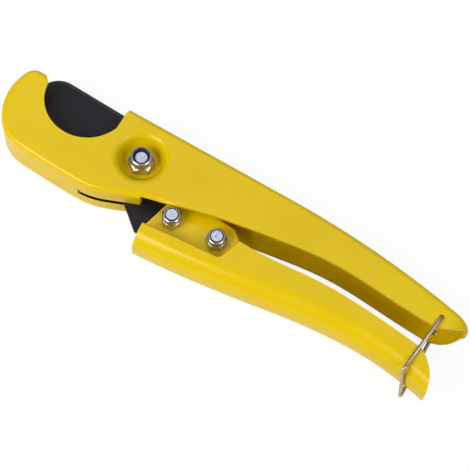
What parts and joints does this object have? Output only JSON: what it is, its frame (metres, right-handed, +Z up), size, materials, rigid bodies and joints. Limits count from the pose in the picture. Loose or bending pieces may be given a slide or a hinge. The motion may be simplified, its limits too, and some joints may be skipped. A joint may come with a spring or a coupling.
{
  "type": "pvc pipe cutter",
  "caption": "Hand cutter for plastic pipe: a folded steel frame with a hooked jaw, a blade on a pivoting lower handle, and a wire bail that locks it shut.",
  "frame": {"origin": "middle of the underside of the cutter's box, as it lies on its side on a bench", "axes": "+X towards the tails of the handles, +Y from the lower handle towards the upper one, +Z up along the pivot, towards the nuts"},
  "size_m": [0.215, 0.0511, 0.0235],
  "materials": {
    "yellow_paint": "gloss enamel on folded sheet steel",
    "blade_coating": "dark non-stick coating on tool steel",
    "zinc": "bright zinc plate",
    "nylon": "dark blue nylon",
    "bail_wire": "drawn spring wire",
    "spring_steel": "drawn spring wire",
    "plain_steel": "plain steel"
  },
  "bodies": {
    "upper": {"frame": "yellow_paint", "pivot_bolt": "zinc", "pivot_nut": "zinc", "pivot_nut_insert": "nylon", "far_blade_washer": "plain_steel", "near_blade_washer": "plain_steel", "return_spring": "spring_steel"},
    "lever": {"lower_handle": "yellow_paint", "blade": "blade_coating", "front_handle_bolt": "zinc", "front_handle_nut": "zinc", "front_handle_nut_insert": "nylon", "rear_handle_bolt": "zinc", "rear_handle_nut": "zinc", "rear_handle_nut_insert": "nylon"},
    "bail": {"locking_bail": "bail_wire"}
  },
  "joints": [
    {"name": "lever_pivot", "type": "hinge", "parent": "upper", "child": "lever", "pos_m": [-0.0435, 0.00845, 0.01175], "axis": [0, 0, -1], "range_deg": [0, 58], "deforming": ["return_spring", "locking_bail"]},
    {"name": "bail_swing", "type": "hinge", "parent": "upper", "child": "bail", "pos_m": [0.0954, 0.01135, 0.01175], "axis": [0, 0, 1], "range_deg": [0, 120]}
  ],
  "couplings": [
    {"joint": "bail_swing", "follows": "lever_pivot", "ratio": 2}
  ]
}
